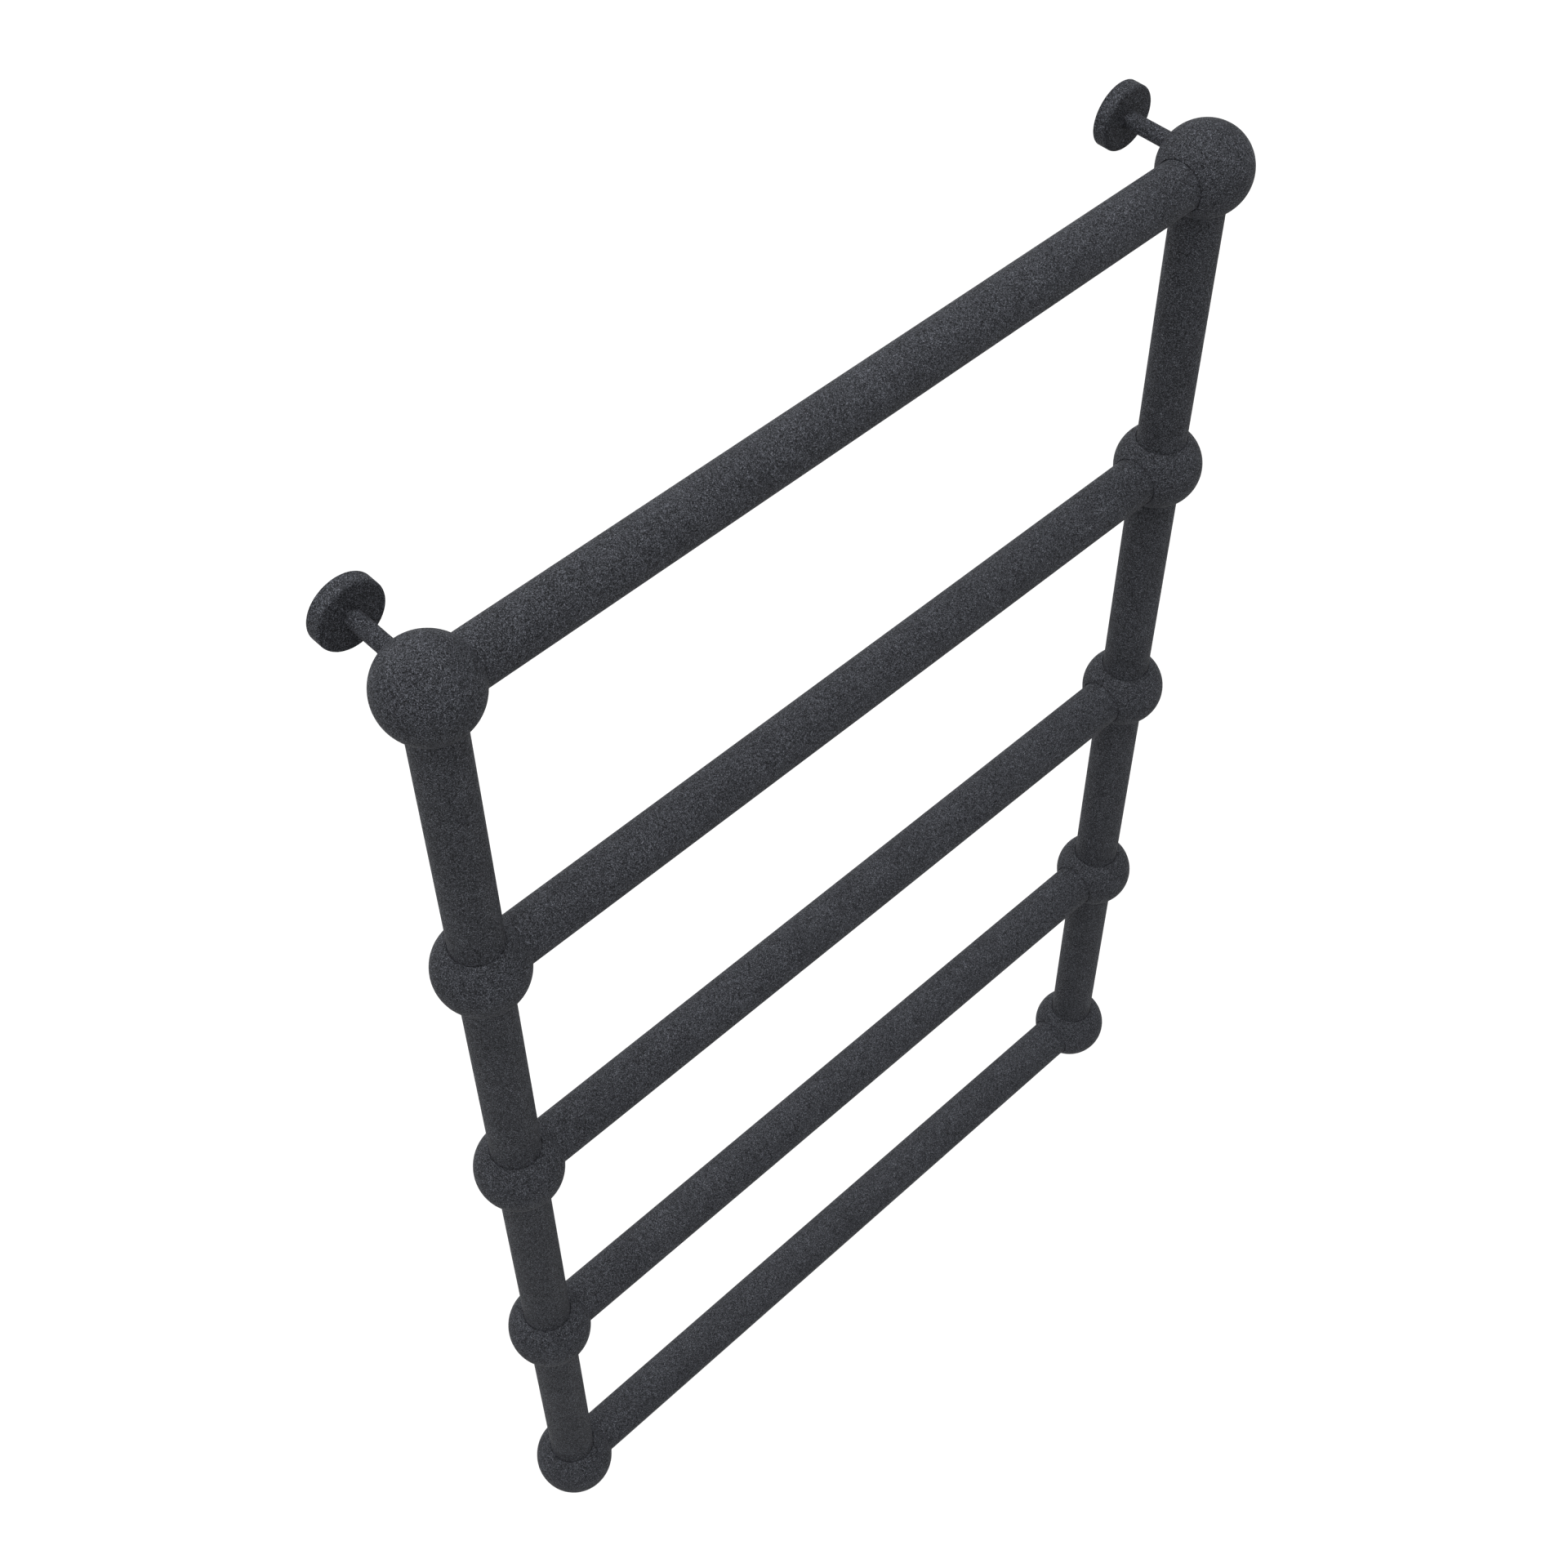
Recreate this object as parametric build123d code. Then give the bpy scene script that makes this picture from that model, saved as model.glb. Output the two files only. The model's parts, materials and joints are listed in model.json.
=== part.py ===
from build123d import *

import os

# Ball-jointed hydronic towel warmer rack, in millimetres.
# +X is to the right and -Y to the front of somebody facing the rack; the wall is the plane Y = 0.
# The origin is on the wall, midway between the axes of the two wall stays.

# Driving dimensions of the ladder
TUBE_OD = 32.0
TUBE_WALL = 1.5
BALL_OD = 57.0
UPRIGHT_SPACING = 565.0
RAIL_GAPS = (229.5, 216.5, 219.5, 220.5)
WALL_TO_RAILS = 66.7
STAY_RISE = 5.0

# Brazed sockets of the ball joints, as distances from the ball's centre and radii about the socket's axis
SOCKET_FLOOR = 17.0
BRAZE_GAP = 0.1
WATERWAY_RADIUS = 13.0
SOCKET_LEAD_IN = 0.9
RING_DISTANCE = 20.0
RING_SECTION = 1.1
RING_GROOVE_WIDTH = 1.2

# Flow and return ports under the bottom balls, tapped for a G 1/2 valve tail
PORT_THREAD_RADIUS = 9.3
PORT_FACE_DISTANCE = 25.8
PORT_THREAD_START = 13.6
PORT_PASSAGE_RADIUS = 8.0
PORT_LEAD_IN = 0.6

# Wall stays
STAY_OD = 10.5
STAY_THREAD_OD = 8.0
STAY_THREAD_LENGTH = 8.0
STAY_SHOULDER = 24.5
STAY_SEAT_CLEARANCE = 0.1
STAY_TO_WALL = 1.1

# Wall plates, screwed to the wall under the roses
PLATE_OD = 36.0
PLATE_THICKNESS = 2.5
HUB_OD = 18.0
HUB_FRONT = 6.3
HUB_FLOOR = 1.0
WALL_SCREW_SPACING = 26.5
WALL_SCREW_HOLE_RADIUS = 2.25
WALL_SCREW_HEAD_RADIUS = 3.55
GRUB_RADIUS = 1.45
GRUB_HOLE_RADIUS = 1.5
GRUB_LENGTH = 3.6
GRUB_KEY = 1.5
GRUB_FROM_WALL = 4.4

# Roses, the cover discs that slide along the stays
ROSE_OD = 41.0
ROSE_FRONT = 9.5
ROSE_BACK = 0.2
ROSE_CAVITY_RADIUS = 18.3
ROSE_CAVITY_FRONT = 6.6
ROSE_NECK_CLEARANCE = 0.1
ROSE_EDGE_ROUND = 2.0
GRIP_RING_SECTION = 1.2
GRIP_RING_FROM_WALL = 8.05
GRIP_RING_CLEARANCE = 0.02
GRIP_GROOVE_WIDTH = 1.5

# Air vent in the outer side of the top right ball, as distances from the ball's centre
VENT_PASSAGE_RADIUS = 3.0
VENT_SEAT = 22.4
VENT_SEAT_RADIUS = 7.6
VENT_THREAD_RADIUS = 5.0
VENT_THREAD_START = 17.0
VENT_WASHER_THICKNESS = 1.0
VENT_HEAD_RADIUS = 7.2
VENT_FACE = 27.2
VENT_INLET_RADIUS = 1.2
VENT_VALVE_SEAT = 18.6
VENT_SEAL_THICKNESS = 1.0
VENT_SEAL_RADIUS = 2.2
SPINDLE_RADIUS = 2.45
SPINDLE_CLEARANCE = 0.05
KEY_RECESS_FLOOR = 24.6
KEY_RECESS_RADIUS = 4.8
KEY_SQUARE = 5.0
KEY_SQUARE_LENGTH = 2.0
SPANNER_NOTCH = 1.8
WEEP_SLOT_WIDTH = 1.0
WEEP_SLOT_DEPTH = 0.8

# Sizes worked out from the driving dimensions
TUBE_RADIUS = TUBE_OD / 2
BALL_RADIUS = BALL_OD / 2
SOCKET_RADIUS = TUBE_RADIUS + BRAZE_GAP
SOCKET_MOUTH = (BALL_RADIUS**2 - SOCKET_RADIUS**2) ** 0.5
TUBE_END = SOCKET_FLOOR + BRAZE_GAP
HALF_SPACING = UPRIGHT_SPACING / 2
RAIL_HEIGHTS = [-STAY_RISE - sum(RAIL_GAPS[:n]) for n in range(len(RAIL_GAPS) + 1)]
SIDES = {"left": -1, "right": 1}

UP = Vector(0, 0, 1)
DOWN = Vector(0, 0, -1)
TO_WALL = Vector(0, 1, 0)
FROM_WALL = Vector(0, -1, 0)
RIGHT = Vector(1, 0, 0)


def bar(start, direction, near, far, radius):
    """A solid cylinder on an axis through start, from near to far along the direction."""
    base = Plane(origin=start + direction * near, z_dir=direction)
    return base * Cylinder(radius, far - near, align=(Align.CENTER, Align.CENTER, Align.MIN))


def taper(start, direction, near, far, near_radius, far_radius):
    """A solid cone frustum on an axis through start, from near to far along the direction."""
    base = Plane(origin=start + direction * near, z_dir=direction)
    align = (Align.CENTER, Align.CENTER, Align.MIN)
    return base * Cone(near_radius, far_radius, far - near, align=align)


def ring(start, direction, distance, centre_radius, section):
    """A round-section ring about the direction, with its middle at the given distance."""
    return Plane(origin=start + direction * distance, z_dir=direction) * Torus(centre_radius, section / 2)


def ball_centre(side, row):
    return Vector(SIDES[side] * HALF_SPACING, -WALL_TO_RAILS, RAIL_HEIGHTS[row])


def socket_directions(side, row):
    """The ways in which a ball's tubes leave it: always inwards, and up or down to the next balls."""
    directions = [RIGHT * -SIDES[side]]
    if row > 0:
        directions.append(UP)
    if row < len(RAIL_GAPS):
        directions.append(DOWN)
    return directions


def socket_cut(centre, direction):
    """Waterway, tube seat, groove for the brazing ring and lead-in chamfer of one socket."""
    lead = SOCKET_LEAD_IN + 0.5
    cut = bar(centre, direction, 0, SOCKET_FLOOR, WATERWAY_RADIUS)
    cut += bar(centre, direction, SOCKET_FLOOR, BALL_RADIUS, SOCKET_RADIUS)
    cut += bar(
        centre,
        direction,
        RING_DISTANCE - RING_GROOVE_WIDTH / 2,
        RING_DISTANCE + RING_GROOVE_WIDTH / 2,
        SOCKET_RADIUS + RING_SECTION,
    )
    mouth = SOCKET_MOUTH - SOCKET_LEAD_IN
    cut += taper(centre, direction, mouth, mouth + lead, SOCKET_RADIUS, SOCKET_RADIUS + lead)
    return cut


def stay_cut(centre):
    """Seat and blind tapped hole for a wall stay in the back of a top ball."""
    start = centre + UP * STAY_RISE
    seat_radius = STAY_OD / 2 + STAY_SEAT_CLEARANCE
    hole_end = STAY_SHOULDER - STAY_THREAD_LENGTH - 0.5
    seat = bar(start, TO_WALL, STAY_SHOULDER, BALL_RADIUS, seat_radius)
    return seat + bar(start, TO_WALL, hole_end, STAY_SHOULDER, STAY_THREAD_OD / 2)


def port_cut(centre):
    """Flat sealing face, tapped hole and passage of a flow or return port."""
    face = bar(centre, DOWN, PORT_FACE_DISTANCE, BALL_RADIUS, BALL_RADIUS)
    thread = bar(centre, DOWN, PORT_THREAD_START, PORT_FACE_DISTANCE, PORT_THREAD_RADIUS)
    passage = bar(centre, DOWN, 0, PORT_THREAD_START, PORT_PASSAGE_RADIUS)
    lead_in = taper(
        centre,
        DOWN,
        PORT_FACE_DISTANCE - PORT_LEAD_IN,
        PORT_FACE_DISTANCE,
        PORT_THREAD_RADIUS,
        PORT_THREAD_RADIUS + PORT_LEAD_IN,
    )
    return face + thread + passage + lead_in


def vent_cut(centre):
    """Air passage, tapped hole and flush seat for the vent plug."""
    passage = bar(centre, RIGHT, 0, VENT_THREAD_START, VENT_PASSAGE_RADIUS)
    thread = bar(centre, RIGHT, VENT_THREAD_START, VENT_SEAT, VENT_THREAD_RADIUS)
    return passage + thread + bar(centre, RIGHT, VENT_SEAT, BALL_RADIUS, VENT_SEAT_RADIUS)


def ball_joint(side, row):
    """A ball with a socket for each of its tubes and the ports that its place calls for."""
    centre = ball_centre(side, row)
    ball = Pos(*centre) * (Sphere(BALL_RADIUS) - Sphere(WATERWAY_RADIUS))
    for direction in socket_directions(side, row):
        ball -= socket_cut(centre, direction)
    if row == 0:
        ball -= stay_cut(centre)
        if side == "right":
            ball -= vent_cut(centre)
    if row == len(RAIL_GAPS):
        ball -= port_cut(centre)
    return ball


def brazing_rings(side, row):
    """The brazing alloy that seals the tubes into one ball, a ring in each socket's groove."""
    centre = ball_centre(side, row)
    middle = SOCKET_RADIUS + RING_SECTION / 2 - 0.05
    directions = socket_directions(side, row)
    rings = [ring(centre, way, RING_DISTANCE, middle, RING_SECTION - 0.1) for way in directions]
    return Compound(children=rings)


def tube_between(start, end):
    """A tube from socket to socket between the centres of two balls."""
    span = end - start
    way = span.normalized()
    near, far = TUBE_END, span.length - TUBE_END
    return bar(start, way, near, far, TUBE_RADIUS) - bar(start, way, near, far, TUBE_RADIUS - TUBE_WALL)


def stay_foot(side):
    """The point on the wall where a stay's axis meets it."""
    return Vector(SIDES[side] * HALF_SPACING, 0, 0)


def stay_rod(side):
    """Stay with a threaded front end that screws into the ball and a plain back end for the plate's hub."""
    foot = stay_foot(side)
    shoulder = WALL_TO_RAILS - STAY_SHOULDER
    rod = bar(foot, FROM_WALL, STAY_TO_WALL, shoulder, STAY_OD / 2)
    rod = chamfer(rod.edges().sort_by(Axis.Y)[-1], 0.4)
    thread_radius = STAY_THREAD_OD / 2 - 0.05
    return rod + bar(foot, FROM_WALL, shoulder, shoulder + STAY_THREAD_LENGTH, thread_radius)


def wall_plate(side):
    """Disc with two countersunk screw holes and a hub, whose socket takes the stay's back end."""
    foot = stay_foot(side)
    plate = bar(foot, FROM_WALL, 0, PLATE_THICKNESS, PLATE_OD / 2)
    plate += bar(foot, FROM_WALL, 0, HUB_FRONT, HUB_OD / 2)
    plate -= bar(foot, FROM_WALL, HUB_FLOOR, HUB_FRONT, STAY_OD / 2 + STAY_SEAT_CLEARANCE / 2)
    head_depth = WALL_SCREW_HEAD_RADIUS - WALL_SCREW_HOLE_RADIUS
    for way in (UP, DOWN):
        hole = foot + way * (WALL_SCREW_SPACING / 2)
        plate -= bar(hole, FROM_WALL, 0, PLATE_THICKNESS, WALL_SCREW_HOLE_RADIUS)
        plate -= taper(
            hole,
            FROM_WALL,
            PLATE_THICKNESS - head_depth,
            PLATE_THICKNESS,
            WALL_SCREW_HOLE_RADIUS,
            WALL_SCREW_HEAD_RADIUS,
        )
    outwards = RIGHT * SIDES[side]
    return plate - bar(foot + FROM_WALL * GRUB_FROM_WALL, outwards, 0, HUB_OD, GRUB_HOLE_RADIUS)


def plate_grub_screw(side):
    """Socket set screw in the side of the hub, which locks the stay."""
    outwards = RIGHT * SIDES[side]
    start = stay_foot(side) + FROM_WALL * GRUB_FROM_WALL
    near = STAY_OD / 2 + 0.02
    far = near + GRUB_LENGTH
    screw = bar(start, outwards, near, far, GRUB_RADIUS)
    mouth = Plane(origin=start + outwards * far, z_dir=-outwards)
    key = extrude(mouth * RegularPolygon(GRUB_KEY / 2, 6, major_radius=False), GRUB_LENGTH / 2)
    return screw - key


def wall_rose(side):
    """Turned cup that covers the plate, with a groove in its neck for the grip ring."""
    foot = stay_foot(side)
    rose = bar(foot, FROM_WALL, ROSE_BACK, ROSE_FRONT, ROSE_OD / 2)
    rose = fillet(rose.edges().sort_by(Axis.Y)[0], ROSE_EDGE_ROUND)
    rose -= bar(foot, FROM_WALL, ROSE_BACK, ROSE_CAVITY_FRONT, ROSE_CAVITY_RADIUS)
    rose -= bar(foot, FROM_WALL, ROSE_BACK, ROSE_FRONT, STAY_OD / 2 + ROSE_NECK_CLEARANCE)
    groove_radius = STAY_OD / 2 + GRIP_RING_CLEARANCE + GRIP_RING_SECTION + 0.05
    near = GRIP_RING_FROM_WALL - GRIP_GROOVE_WIDTH / 2
    return rose - bar(foot, FROM_WALL, near, near + GRIP_GROOVE_WIDTH, groove_radius)


def rose_grip_ring(side):
    """Rubber ring that holds the rose where it is put on the stay."""
    middle = (STAY_OD + GRIP_RING_SECTION) / 2 + GRIP_RING_CLEARANCE
    return ring(stay_foot(side), FROM_WALL, GRIP_RING_FROM_WALL, middle, GRIP_RING_SECTION)


def vent_plug(centre):
    """Plug with two spanner notches, a valve seat, a tapped bore for the spindle and a key recess."""
    head_back = VENT_SEAT + VENT_WASHER_THICKNESS
    plug = bar(centre, RIGHT, VENT_THREAD_START + 0.3, head_back, VENT_THREAD_RADIUS - 0.05)
    plug += bar(centre, RIGHT, head_back, VENT_FACE, VENT_HEAD_RADIUS)
    plug -= bar(centre, RIGHT, VENT_THREAD_START, VENT_VALVE_SEAT, VENT_INLET_RADIUS)
    plug -= bar(centre, RIGHT, VENT_VALVE_SEAT, VENT_FACE, SPINDLE_RADIUS + SPINDLE_CLEARANCE)
    plug -= bar(centre, RIGHT, KEY_RECESS_FLOOR, VENT_FACE, KEY_RECESS_RADIUS)
    weep_length = KEY_RECESS_FLOOR - VENT_VALVE_SEAT
    weep_middle = centre + RIGHT * (VENT_VALVE_SEAT + weep_length / 2) + DOWN * SPINDLE_RADIUS
    plug -= Pos(*weep_middle) * Box(weep_length, WEEP_SLOT_WIDTH, 2 * WEEP_SLOT_DEPTH)
    for way in (-1, 1):
        notch_middle = centre + RIGHT * VENT_FACE + TO_WALL * (way * VENT_HEAD_RADIUS)
        plug -= Pos(*notch_middle) * Box(SPANNER_NOTCH, 2 * SPANNER_NOTCH, SPANNER_NOTCH)
    return plug


def vent_washer(centre):
    """Flat sealing washer under the plug's head."""
    back, front = VENT_SEAT, VENT_SEAT + VENT_WASHER_THICKNESS
    hole = bar(centre, RIGHT, back, front, VENT_THREAD_RADIUS + 0.1)
    return bar(centre, RIGHT, back, front, VENT_HEAD_RADIUS) - hole


def vent_seal(centre):
    """Soft disc on the spindle's tip that closes the valve seat. It moves in and out but doesn't turn."""
    return bar(centre, RIGHT, VENT_VALVE_SEAT, VENT_VALVE_SEAT + VENT_SEAL_THICKNESS, VENT_SEAL_RADIUS)


def bleed_screw(centre):
    """Spindle with a square head for a radiator key."""
    shank = bar(centre, RIGHT, VENT_VALVE_SEAT + VENT_SEAL_THICKNESS, KEY_RECESS_FLOOR, SPINDLE_RADIUS)
    head = Plane(origin=centre + RIGHT * KEY_RECESS_FLOOR, z_dir=RIGHT) * Box(
        KEY_SQUARE, KEY_SQUARE, KEY_SQUARE_LENGTH, align=(Align.CENTER, Align.CENTER, Align.MIN)
    )
    return shank + chamfer(head.edges().filter_by(Axis.X), 0.3)


def build_ladder():
    nodes = {}
    for side in SIDES:
        for row in range(len(RAIL_HEIGHTS)):
            nodes[f"ball_joint_{side}_{row + 1}"] = ball_joint(side, row)
            nodes[f"brazing_rings_{side}_{row + 1}"] = brazing_rings(side, row)
        for row in range(len(RAIL_GAPS)):
            ends = ball_centre(side, row), ball_centre(side, row + 1)
            nodes[f"upright_{side}_{row + 1}"] = tube_between(*ends)
    for row in range(len(RAIL_HEIGHTS)):
        nodes[f"cross_rail_{row + 1}"] = tube_between(ball_centre("left", row), ball_centre("right", row))
    return nodes


def build_stays():
    makers = (stay_rod, wall_plate, plate_grub_screw, wall_rose, rose_grip_ring)
    return {f"{maker.__name__}_{side}": maker(side) for side in SIDES for maker in makers}


def build_vent():
    centre = ball_centre("right", 0)
    makers = (vent_plug, vent_washer, vent_seal, bleed_screw)
    return {maker.__name__: maker(centre) for maker in makers}


os.makedirs("parts", exist_ok=True)
for name, shape in {**build_ladder(), **build_stays(), **build_vent()}.items():
    export_step(shape, f"parts/{name}.step")
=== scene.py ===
import json
import math

import bmesh
import bpy
from mathutils import Matrix, Vector


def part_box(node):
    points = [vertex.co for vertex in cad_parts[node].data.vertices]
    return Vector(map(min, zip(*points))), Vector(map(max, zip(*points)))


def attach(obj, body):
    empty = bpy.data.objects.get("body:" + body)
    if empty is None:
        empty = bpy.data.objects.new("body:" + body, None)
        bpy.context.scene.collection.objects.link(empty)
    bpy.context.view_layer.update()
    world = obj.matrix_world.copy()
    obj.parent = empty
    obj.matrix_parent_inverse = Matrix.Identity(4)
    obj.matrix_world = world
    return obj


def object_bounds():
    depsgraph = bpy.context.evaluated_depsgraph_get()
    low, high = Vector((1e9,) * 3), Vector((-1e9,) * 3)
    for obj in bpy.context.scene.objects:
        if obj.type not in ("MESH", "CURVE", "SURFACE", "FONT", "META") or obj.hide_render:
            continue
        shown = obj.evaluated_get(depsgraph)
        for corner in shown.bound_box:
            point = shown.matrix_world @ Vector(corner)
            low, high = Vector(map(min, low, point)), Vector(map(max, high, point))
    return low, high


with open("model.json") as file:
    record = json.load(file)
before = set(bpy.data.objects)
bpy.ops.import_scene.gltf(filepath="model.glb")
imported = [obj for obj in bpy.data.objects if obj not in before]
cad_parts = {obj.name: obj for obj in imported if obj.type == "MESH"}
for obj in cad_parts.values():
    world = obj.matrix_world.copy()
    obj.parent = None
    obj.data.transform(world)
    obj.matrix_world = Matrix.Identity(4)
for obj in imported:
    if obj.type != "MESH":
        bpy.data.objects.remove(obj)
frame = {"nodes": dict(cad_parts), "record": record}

cad_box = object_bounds()
scene = bpy.context.scene
MM = 0.001

# ---------------------------------------------------------------- sizes read from the frame
tube_low, tube_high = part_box("cross_rail_1")
ball_low, ball_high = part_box("ball_joint_left_2")
TUBE_RADIUS = (tube_high.z - tube_low.z) / 2
BALL_RADIUS = (ball_high.y - ball_low.y) / 2
RAIL_Y = (tube_low.y + tube_high.y) / 2
ROWS = range(1, 6)
LAST_UPRIGHT = ROWS[-1] - 1
SIDES = {"left": -1, "right": 1}


def middle(node):
    low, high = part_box(node)
    return (low + high) / 2


def ball_centre(side, row):
    """Where the tubes' axes cross: the rail's, and that of the upright below or above."""
    upright = min(row, LAST_UPRIGHT)
    x = middle(f"upright_{side}_{upright}").x
    return Vector((x, RAIL_Y, middle(f"cross_rail_{row}").z))


def direction(azimuth, elevation):
    """Unit vector in degrees: azimuth 0 is in front of the rack and 90 to its right."""
    a, e = math.radians(azimuth), math.radians(elevation)
    return Vector((math.sin(a) * math.cos(e), -math.cos(a) * math.cos(e), math.sin(e)))


# ---------------------------------------------------------------- camera
AIM = Vector((-0.1084, -0.0667, -0.2005))
DISTANCE = 1.3028
AZIMUTH = -40.645
ELEVATION = 50.286
ROLL = -2.794
LENS = 52.883
SENSOR_WIDTH = 36
SHIFT = (0.04513, -0.01849)
CLIP = (0.01, 100)


def make_camera():
    data = bpy.data.cameras.new("camera")
    data.lens = LENS
    data.sensor_width = SENSOR_WIDTH
    data.shift_x, data.shift_y = SHIFT
    data.clip_start, data.clip_end = CLIP
    camera = bpy.data.objects.new("camera", data)
    scene.collection.objects.link(camera)
    back = direction(AZIMUTH, ELEVATION)
    roll = Matrix.Rotation(math.radians(ROLL), 3, "Z")
    turn = (-back).to_track_quat("-Z", "Y").to_matrix() @ roll
    camera.matrix_world = Matrix.Translation(AIM + back * DISTANCE) @ turn.to_4x4()
    scene.camera = camera


# ---------------------------------------------------------------- short calls for material nodes
class Nodes:
    """A material's node tree, with the few calls that the materials below share."""

    def __init__(self, name, **sockets):
        """sockets are values for the shader's own sockets, with _ for a space in their names."""
        self.material = bpy.data.materials.new(name)
        self.material.use_nodes = True
        self.tree = self.material.node_tree
        self.shader = self.tree.nodes["Principled BSDF"]
        for socket, value in sockets.items():
            self.shader.inputs[socket.replace("_", " ")].default_value = value
        self.place = self.add("ShaderNodeTexCoord").outputs["Object"]

    def add(self, kind, **settings):
        node = self.tree.nodes.new(kind)
        for key, value in settings.items():
            setattr(node, key, value)
        return node

    def link(self, source, target):
        self.tree.links.new(source, target)

    def noise(self, scale, detail, roughness=0.5, place=None):
        node = self.add("ShaderNodeTexNoise")
        node.inputs["Scale"].default_value = scale
        node.inputs["Detail"].default_value = detail
        node.inputs["Roughness"].default_value = roughness
        self.link(place or self.place, node.inputs["Vector"])
        return node.outputs["Fac"]

    def cells(self, size, output):
        """Voronoi cells about size metres across: their Distance or random Color."""
        node = self.add("ShaderNodeTexVoronoi")
        node.inputs["Scale"].default_value = 1 / size
        self.link(self.place, node.inputs["Vector"])
        return node.outputs[output]

    def ramp(self, value, low, high, out_low, out_high):
        """Straight-line ramp, held flat outside low and high."""
        node = self.add("ShaderNodeMapRange")
        ends = {"From Min": low, "From Max": high, "To Min": out_low, "To Max": out_high}
        for socket, number in ends.items():
            node.inputs[socket].default_value = number
        self.link(value, node.inputs["Value"])
        return node.outputs["Result"]

    def math(self, operation, a, b=0.0):
        """a and b are numbers or other nodes' outputs."""
        node = self.add("ShaderNodeMath", operation=operation)
        for socket, value in zip(node.inputs, (a, b)):
            if isinstance(value, (int, float)):
                socket.default_value = value
            else:
                self.link(value, socket)
        return node.outputs[0]

    def mix(self, a, b, share):
        """share of a, and the rest of b."""
        return self.math(
            "ADD", self.math("MULTIPLY", a, share), self.math("MULTIPLY", b, 1 - share)
        )

    def colours(self, value, stops):
        """Colour ramp through (position, (r, g, b)) stops."""
        node = self.add("ShaderNodeValToRGB")
        elements = node.color_ramp.elements
        while len(elements) < len(stops):
            elements.new(0.5)
        for element, (position, colour) in zip(elements, stops):
            element.position = position
            element.color = (*colour, 1)
        self.link(value, node.inputs["Fac"])
        return node.outputs["Color"]

    def bump(self, height, distance, strength):
        node = self.add("ShaderNodeBump")
        node.inputs["Distance"].default_value = distance
        node.inputs["Strength"].default_value = strength
        self.link(height, node.inputs["Height"])
        return node.outputs["Normal"]

    def finish(self, colour, roughness, normal):
        """Gives the shader its three varying inputs, and returns the material."""
        self.link(colour, self.shader.inputs["Base Color"])
        self.link(roughness, self.shader.inputs["Roughness"])
        self.link(normal, self.shader.inputs["Normal"])
        return self.material


# ---------------------------------------------------------------- floor and studio light
FLOOR_DROP = 0.9
FLOOR_SIZE = 120.0
# (metres from the world's origin, tone) where the floor starts and ends getting paler: it is grey
# under the lights and nearly white far from them, so that it looks evenly white.
FLOOR_TONES = ((3.0, 0.5), (14.0, 0.97))
LIGHT_TARGET = Vector((0, RAIL_Y, middle("cross_rail_3").z))
LIGHT_DISTANCE = 9.0
LIGHT_SIZE = 7.2
# name: azimuth and elevation of where the light comes from, and its power
LIGHTS = {
    "overhead": (0, 88, 600),
    "wall_side": (180, 30, 500),
    "left": (-90, 30, 230),
    "front_high": (-20, 67, 390),
}
WHITE = (1, 1, 1, 1)


def make_light(name, azimuth, elevation, power):
    data = bpy.data.lights.new(name, "AREA")
    data.shape = "DISK"
    data.size = LIGHT_SIZE
    data.energy = power
    light = bpy.data.objects.new(name, data)
    scene.collection.objects.link(light)
    way = direction(azimuth, elevation)
    light.location = LIGHT_TARGET + way * LIGHT_DISTANCE
    light.rotation_euler = way.to_track_quat("Z", "Y").to_euler()
    light.visible_camera = False


def make_world():
    world = bpy.data.worlds.new("studio")
    world.use_nodes = True
    background = world.node_tree.nodes["Background"]
    background.inputs["Color"].default_value = WHITE
    background.inputs["Strength"].default_value = 1.0
    scene.world = world


def pale_floor():
    m = Nodes("pale_floor", Roughness=1.0, Specular_IOR_Level=0.0)
    away = m.add("ShaderNodeVectorMath", operation="LENGTH")
    m.link(m.place, away.inputs[0])
    (near, near_tone), (far, far_tone) = FLOOR_TONES
    tone = m.ramp(away.outputs["Value"], near, far, near_tone, far_tone)
    m.link(tone, m.shader.inputs["Base Color"])
    return m.material


def make_floor():
    mesh = bpy.data.meshes.new("floor")
    half = FLOOR_SIZE / 2
    z = cad_box[0].z - FLOOR_DROP
    corners = [(-half, -half, z), (half, -half, z), (half, half, z), (-half, half, z)]
    mesh.from_pydata(corners, [], [(0, 1, 2, 3)])
    mesh.materials.append(pale_floor())
    floor = bpy.data.objects.new("floor", mesh)
    scene.collection.objects.link(floor)


make_camera()
make_world()
for name, values in LIGHTS.items():
    make_light(name, *values)
make_floor()
scene.view_settings.view_transform = "Standard"
# The coat's grain is finer than a pixel in places, and a smoothed guide pass would wipe it out.
scene.cycles.denoising_prefilter = "NONE"

# ---------------------------------------------------------------- materials
# A noise's values hardly ever leave this span.
NOISE_LOW, NOISE_HIGH = 0.3, 0.7

GRAIN = 0.34 * MM
GRIT = 0.8 * MM
# The coat's tone runs from 0 to 1. The sand sets it, and the grit and clouds shift it.
SAND_SPAN = (0.06, 0.94)
GRIT_SPAN = (-0.08, 0.08)
CLOUD_SPAN = (-0.02, 0.02)
CLOUD_SCALE = 45
DOME_EDGE = 0.7
LUMP_SCALE = 0.4 / GRAIN
COAT_SPECULAR = 0.05
# Two tones of the sand, and the roughness at each
COAT_ROUGHNESS = (0.2, 0.8, 0.8, 0.55)
# Relief is the bump's height and strength.
COAT_RELIEF = (0.07 * MM, 0.4)
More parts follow.
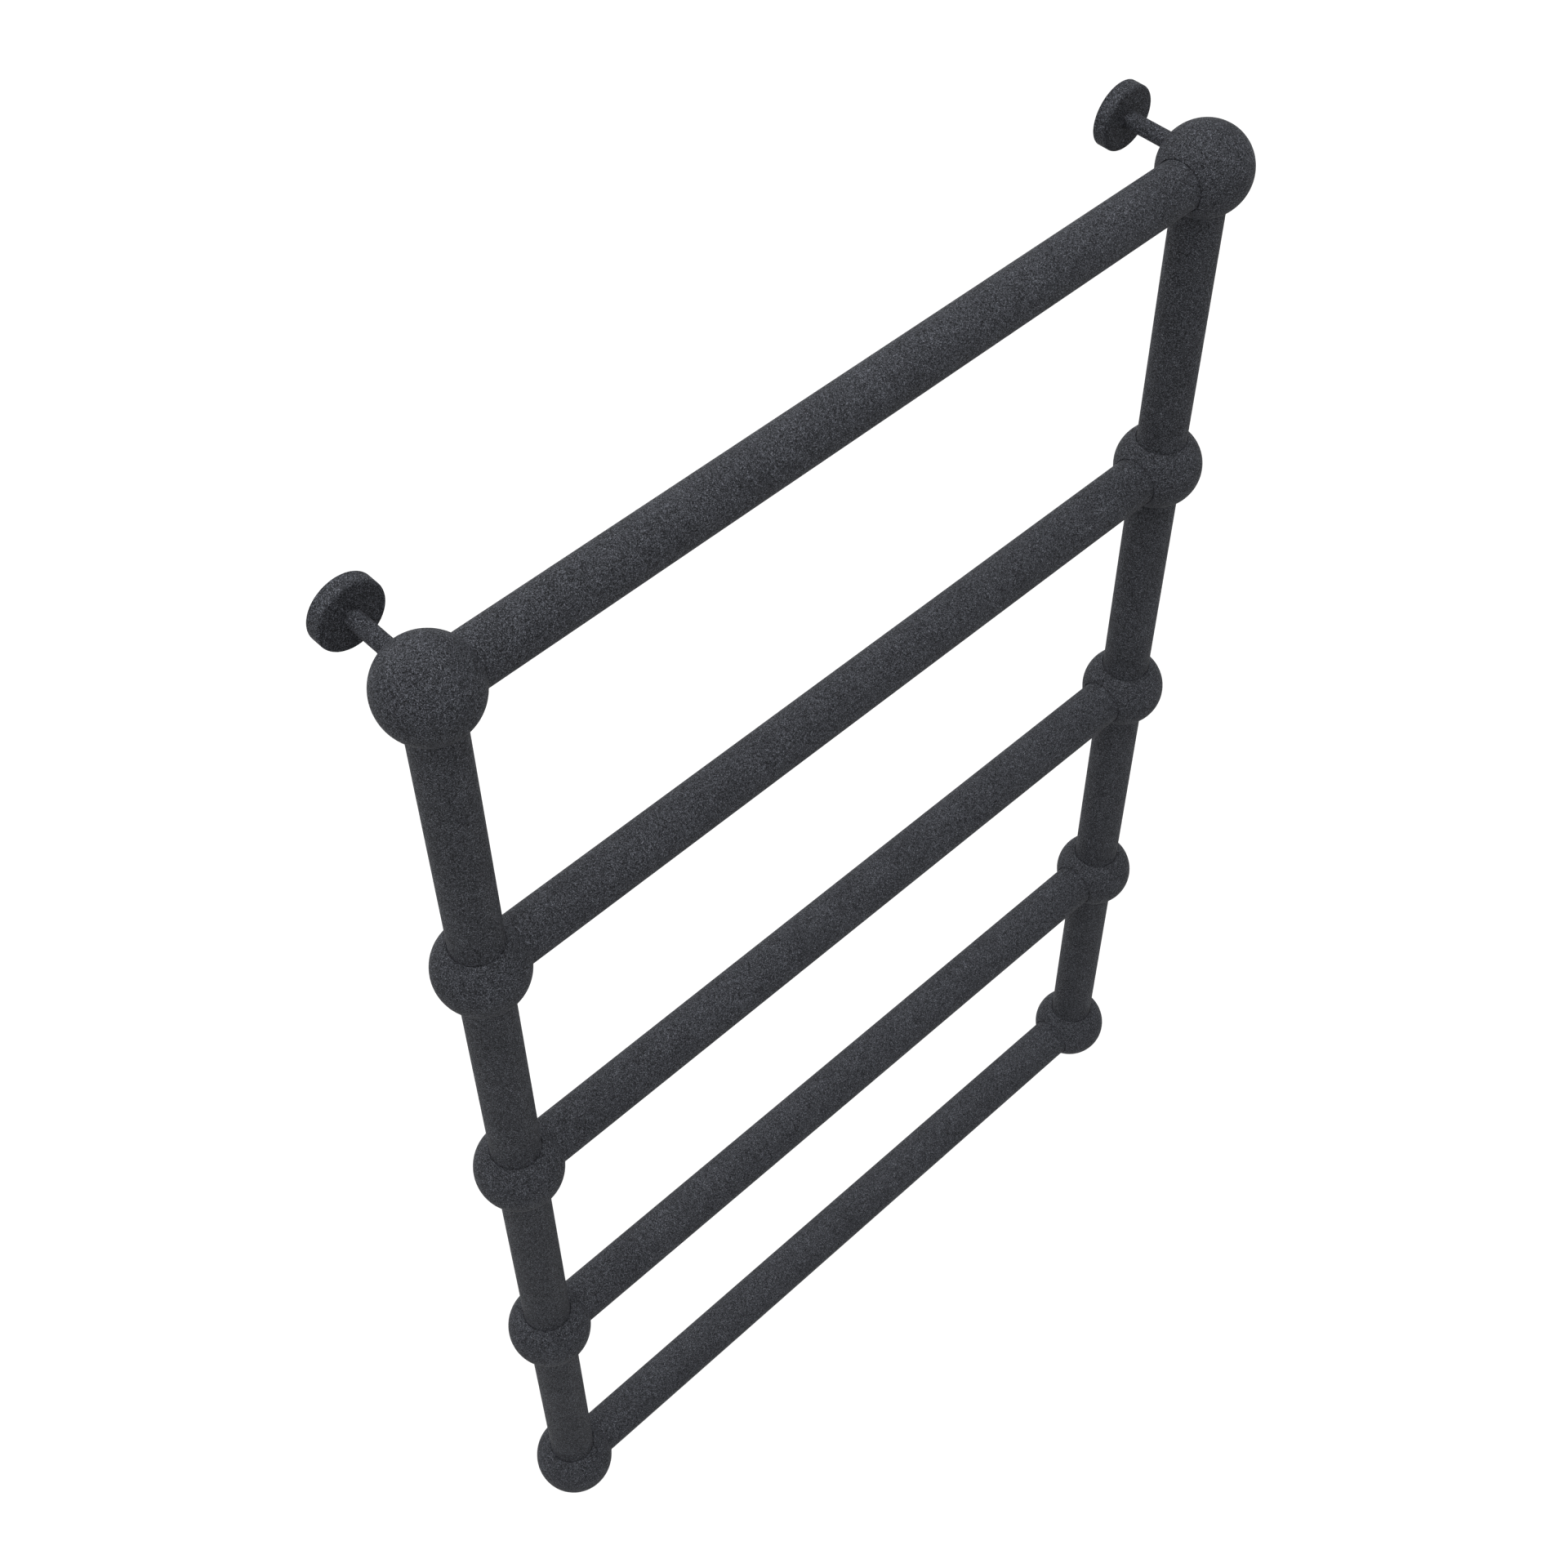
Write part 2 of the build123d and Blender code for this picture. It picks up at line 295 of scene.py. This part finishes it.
# From the darkest grains to the palest, as (position, linear colour)
COAT_COLOURS = (
    (0.0, (0.0008, 0.0009, 0.0010)),
    (0.25, (0.0037, 0.0039, 0.0044)),
    (0.5, (0.0135, 0.0142, 0.0165)),
    (0.75, (0.0436, 0.0458, 0.0531)),
    (1.0, (0.1384, 0.1450, 0.1668)),
)

# How a metal's colour and roughness change from the bottom of its marks to their top
METAL_TONES = (0.72, 1.15)
METAL_ROUGHNESS = (0.1, -0.06)
METAL_RELIEF = (0.008 * MM, 0.5)

RUBBER_COLOURS = ((NOISE_LOW, (0.012, 0.012, 0.012)), (NOISE_HIGH, (0.024, 0.024, 0.025)))
RUBBER_ROUGHNESS = (0.62, 0.78)
RUBBER_RELIEF = (0.02 * MM, 0.5)


def textured_coat():
    """Charcoal powder coat with a sandy grain, and a faint cloudiness in the large."""
    m = Nodes("textured_coat", Specular_IOR_Level=COAT_SPECULAR)
    sand = m.ramp(m.cells(GRAIN, "Color"), 0.0, 1.0, *SAND_SPAN)
    domes = m.ramp(m.cells(GRAIN, "Distance"), 0.0, DOME_EDGE, 1.0, 0.0)
    relief = m.math("ADD", domes, m.noise(LUMP_SCALE, detail=2, roughness=0.7))
    grit = m.ramp(m.cells(GRIT, "Color"), 0.0, 1.0, *GRIT_SPAN)
    cloud = m.ramp(m.noise(CLOUD_SCALE, detail=3), NOISE_LOW, NOISE_HIGH, *CLOUD_SPAN)
    tone = m.math("ADD", m.math("ADD", sand, grit), cloud)
    return m.finish(
        m.colours(tone, COAT_COLOURS),
        m.ramp(sand, *COAT_ROUGHNESS),
        m.bump(relief, *COAT_RELIEF),
    )


def metal(m, marks, colour, roughness):
    """Lighter and darker, smoother and rougher by the marks, which also stand in faint relief."""
    dark, light = (tuple(c * tone for c in colour) for tone in METAL_TONES)
    rough, smooth = (roughness + change for change in METAL_ROUGHNESS)
    return m.finish(
        m.colours(marks, ((NOISE_LOW, dark), (NOISE_HIGH, light))),
        m.ramp(marks, NOISE_LOW, NOISE_HIGH, rough, smooth),
        m.bump(marks, *METAL_RELIEF),
    )


def turned_brass():
    """Lathe marks: rings on the faces across the vent's axis, and fine turns along its sides."""
    m = Nodes("vent_brass", Metallic=1.0)
    offset = m.add("ShaderNodeVectorMath", operation="SUBTRACT")
    m.link(m.place, offset.inputs[0])
    offset.inputs[1].default_value = middle("vent_plug")
    apart = m.add("ShaderNodeSeparateXYZ")
    m.link(offset.outputs[0], apart.inputs[0])
    x, y, z = apart.outputs
    radius = m.math("SQRT", m.math("ADD", m.math("MULTIPLY", y, y), m.math("MULTIPLY", z, z)))
    ring_place = m.add("ShaderNodeCombineXYZ")
    m.link(radius, ring_place.inputs[0])
    m.link(x, ring_place.inputs[1])
    rings = m.noise(scale=5000, detail=2, place=ring_place.outputs[0])
    tarnish = m.noise(scale=350, detail=3)
    marks = m.mix(rings, tarnish, share=0.65)
    return metal(m, marks, colour=(0.70, 0.50, 0.24), roughness=0.30)


def plated_steel():
    """Zinc plate: soft mottling with fine handling scratches."""
    m = Nodes("plated_steel", Metallic=1.0)
    stretched = m.add("ShaderNodeMapping")
    stretched.inputs["Scale"].default_value = (1, 1, 18)
    stretched.inputs["Rotation"].default_value = (0, 0.5, 0)
    m.link(m.place, stretched.inputs["Vector"])
    scratches = m.noise(scale=220, detail=4, roughness=0.65, place=stretched.outputs[0])
    mottle = m.noise(scale=260, detail=3)
    marks = m.mix(scratches, mottle, share=0.5)
    return metal(m, marks, colour=(0.44, 0.45, 0.46), roughness=0.36)


def plain_metal(name, colour, roughness, scale):
    m = Nodes(name, Metallic=1.0)
    return metal(m, m.noise(scale, detail=4), colour, roughness)


def black_rubber():
    m = Nodes("black_rubber", Specular_IOR_Level=0.4)
    grain = m.noise(scale=2500, detail=2)
    return m.finish(
        m.colours(grain, RUBBER_COLOURS),
        m.ramp(grain, NOISE_LOW, NOISE_HIGH, *RUBBER_ROUGHNESS),
        m.bump(grain, *RUBBER_RELIEF),
    )


materials = {
    "textured_coat": textured_coat(),
    "plated_steel": plated_steel(),
    "black_steel": plain_metal(
        "black_steel", colour=(0.07, 0.07, 0.075), roughness=0.45, scale=1500
    ),
    "vent_brass": turned_brass(),
    "brazing_alloy": plain_metal(
        "brazing_alloy", colour=(0.78, 0.70, 0.55), roughness=0.4, scale=900
    ),
    "black_rubber": black_rubber(),
}
slots = {part["node"]: part["material_slot"] for part in frame["record"]["subparts"]}
for node, piece in frame["nodes"].items():
    piece.data.materials.clear()
    piece.data.materials.append(materials[slots[node]])

# ---------------------------------------------------------------- coat run into the sockets' mouths
SOCKET_CLEARANCE = 0.1 * MM
SOCKET_RADIUS = TUBE_RADIUS + SOCKET_CLEARANCE
SOCKET_LEAD_IN = 0.9 * MM
SEAL_HEIGHT = 0.25 * MM
# How far a ring's edges go into the tube and the ball
SINK = 0.03 * MM
SEAL_STEPS = 6
RING_STEPS = 128


def seal_profile():
    """Outline of a ring that seals the bottom of a socket's lead-in with a hollow curve, so that a
    fine line stays open above it. Points are (distance from the ball's centre along the tube,
    distance from the tube's axis), and the first SEAL_STEPS edges are the curve."""
    bottom = math.sqrt(BALL_RADIUS**2 - SOCKET_RADIUS**2) - SOCKET_LEAD_IN
    foot = bottom - SEAL_HEIGHT
    top = bottom + SEAL_HEIGHT
    inner = TUBE_RADIUS - SINK
    on_tube = Vector((top, inner))
    on_ball = Vector((top, SOCKET_RADIUS + SEAL_HEIGHT + SINK))
    corner = Vector((bottom, SOCKET_RADIUS))
    curve = []
    for step in range(SEAL_STEPS + 1):
        t = step / SEAL_STEPS
        curve.append(on_tube * (1 - t) ** 2 + corner * 2 * t * (1 - t) + on_ball * t**2)
    return [*curve, corner, Vector((foot, SOCKET_RADIUS)), Vector((foot, inner))]


def add_ring(bm, centre, axis, profile):
    """Adds the profile turned about the axis through centre, as a closed ring."""
    across = axis.orthogonal().normalized()
    loops = []
    for step in range(RING_STEPS):
        out = Matrix.Rotation(math.tau * step / RING_STEPS, 3, axis) @ across
        loops.append([bm.verts.new(centre + axis * along + out * away) for along, away in profile])
    for one, two in zip(loops, loops[1:] + loops[:1]):
        for k in range(len(profile)):
            n = (k + 1) % len(profile)
            face = bm.faces.new((one[k], two[k], two[n], one[n]))
            face.smooth = k < SEAL_STEPS


def coat_seals(side, row, profile):
    """One piece with a ring for each tube that enters the ball."""
    ways = [Vector((-SIDES[side], 0, 0))]
    if row > ROWS[0]:
        ways.append(Vector((0, 0, 1)))
    if row < ROWS[-1]:
        ways.append(Vector((0, 0, -1)))
    bm = bmesh.new()
    for way in ways:
        add_ring(bm, ball_centre(side, row), way, profile)
    bmesh.ops.recalc_face_normals(bm, faces=bm.faces)
    mesh = bpy.data.meshes.new(f"coat_seals_{side}_{row}")
    bm.to_mesh(mesh)
    bm.free()
    piece = bpy.data.objects.new(mesh.name, mesh)
    scene.collection.objects.link(piece)
    mesh.materials.append(materials["textured_coat"])
    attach(piece, "rack")


profile = seal_profile()
for side in SIDES:
    for row in ROWS:
        coat_seals(side, row, profile)
